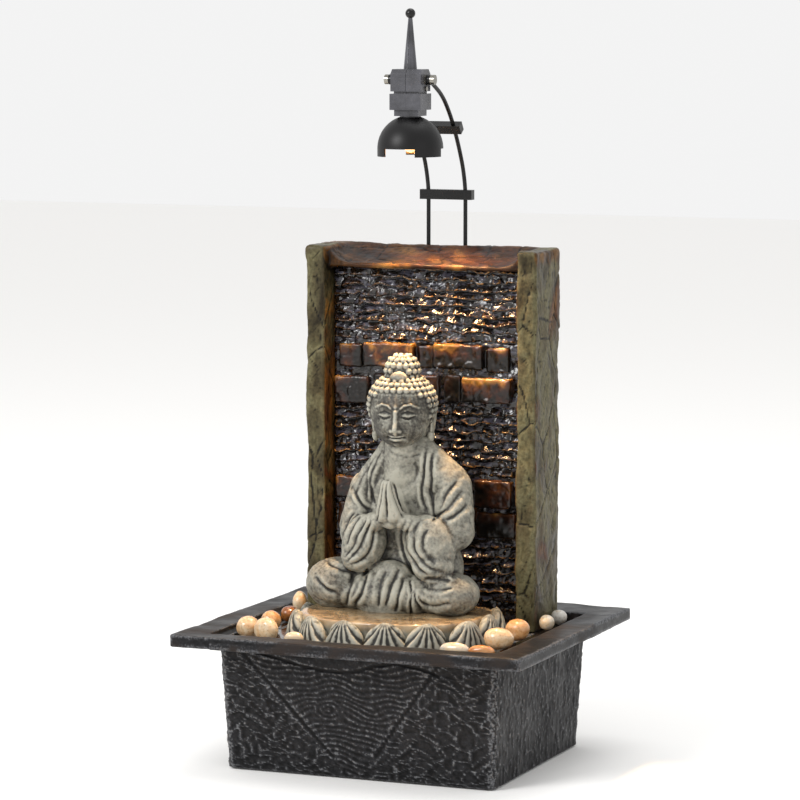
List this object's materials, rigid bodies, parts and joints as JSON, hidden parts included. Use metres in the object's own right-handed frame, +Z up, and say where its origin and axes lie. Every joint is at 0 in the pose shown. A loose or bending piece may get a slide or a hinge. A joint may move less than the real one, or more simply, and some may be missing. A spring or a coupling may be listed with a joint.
{
  "type": "tabletop water fountain",
  "caption": "Tabletop cascade fountain: square slate basin with wide rim, stepped slate wall, seated figure on a lotus plinth, pebbles and a spotlight on two bent rods.",
  "frame": {"origin": "under the middle of the basin, on the surface that its rubber feet stand on", "axes": "+Z up, the front faces -Y, +X to the viewer's right"},
  "size_m": [0.1952, 0.1726, 0.3973],
  "materials": {
    "slate_black": "charcoal slate-look resin, wet satin",
    "slate_wall": "olive and rust slate-look resin",
    "wet_slate": "near-black wet slate",
    "grey_stone": "grey-green stone-look resin with dark patina",
    "pebble": "polished river pebble",
    "black_plastic": "satin black",
    "black_metal": "satin black",
    "rubber": "matte",
    "silicone": "translucent silicone",
    "steel": "plain",
    "nickel": "bright nickel",
    "ceramic": "plain",
    "glass": "clear"
  },
  "bodies": {
    "fountain": {"basin": "slate_black", "basin_rim": "slate_black", "rubber_feet": "rubber", "cord_gland": "black_plastic", "gland_nut": "black_plastic", "deck": "slate_black", "wall_dowels": "black_plastic", "wall_frame": "slate_wall", "cascade_panel": "wet_slate", "wall_back_cover": "black_plastic", "back_cover_screws": "steel", "spill_trough": "black_plastic", "riser_tube": "silicone", "riser_clip": "black_plastic", "pump_housing": "black_plastic", "pump_seal_ring": "rubber", "pump_intake_cover": "black_plastic", "impeller_shaft": "ceramic", "outlet_nozzle": "black_plastic", "suction_cups": "rubber", "lamp_leads": "rubber", "pump_lead": "rubber", "pebbles_left": "pebble", "pebbles_right": "pebble", "mast_socket_lower": "black_plastic", "mast_socket_upper": "black_plastic"},
    "plinth": {"lotus_plinth": "grey_stone", "seated_figure": "grey_stone"},
    "impeller": {"pump_impeller": "black_plastic"},
    "regulator": {"flow_regulator": "black_plastic"},
    "mast": {"lamp_rod_left": "black_metal", "lamp_rod_right": "black_metal", "rod_spacer_lower": "black_plastic", "rod_spacer_upper": "black_plastic"},
    "lamp": {"head_shell_left": "black_plastic", "head_shell_right": "black_plastic", "finial_ball": "black_plastic", "shade_collar": "black_plastic", "shade_neck": "black_plastic", "lamp_shade": "black_metal", "lamp_holder": "ceramic", "pivot_screw_left": "nickel", "pivot_screw_right": "nickel", "pivot_washers": "nickel", "terminal_screw": "nickel"},
    "capsule": {"halogen_capsule": "glass"}
  },
  "joints": [
    {"name": "plinth_lift", "type": "slide", "parent": "fountain", "child": "plinth", "axis": [0, 0, 1], "range_m": [0, 0.075]},
    {"name": "impeller_spin", "type": "hinge", "parent": "fountain", "child": "impeller", "pos_m": [0, 0.036, 0.0225], "axis": [0, 1, 0], "continuous": true},
    {"name": "flow_regulator_slide", "type": "slide", "parent": "fountain", "child": "regulator", "axis": [0, 0, 1], "range_m": [0, 0.005]},
    {"name": "mast_slide", "type": "slide", "parent": "fountain", "child": "mast", "axis": [0, 0, 1], "range_m": [-0.02, 0.02]},
    {"name": "lamp_tilt", "type": "hinge", "parent": "mast", "child": "lamp", "pos_m": [0, 0.007, 0.36], "axis": [1, 0, 0], "range_deg": [-55, 22]},
    {"name": "capsule_pull", "type": "slide", "parent": "lamp", "child": "capsule", "axis": [0, 0, -1], "range_m": [0, 0.012]}
  ]
}
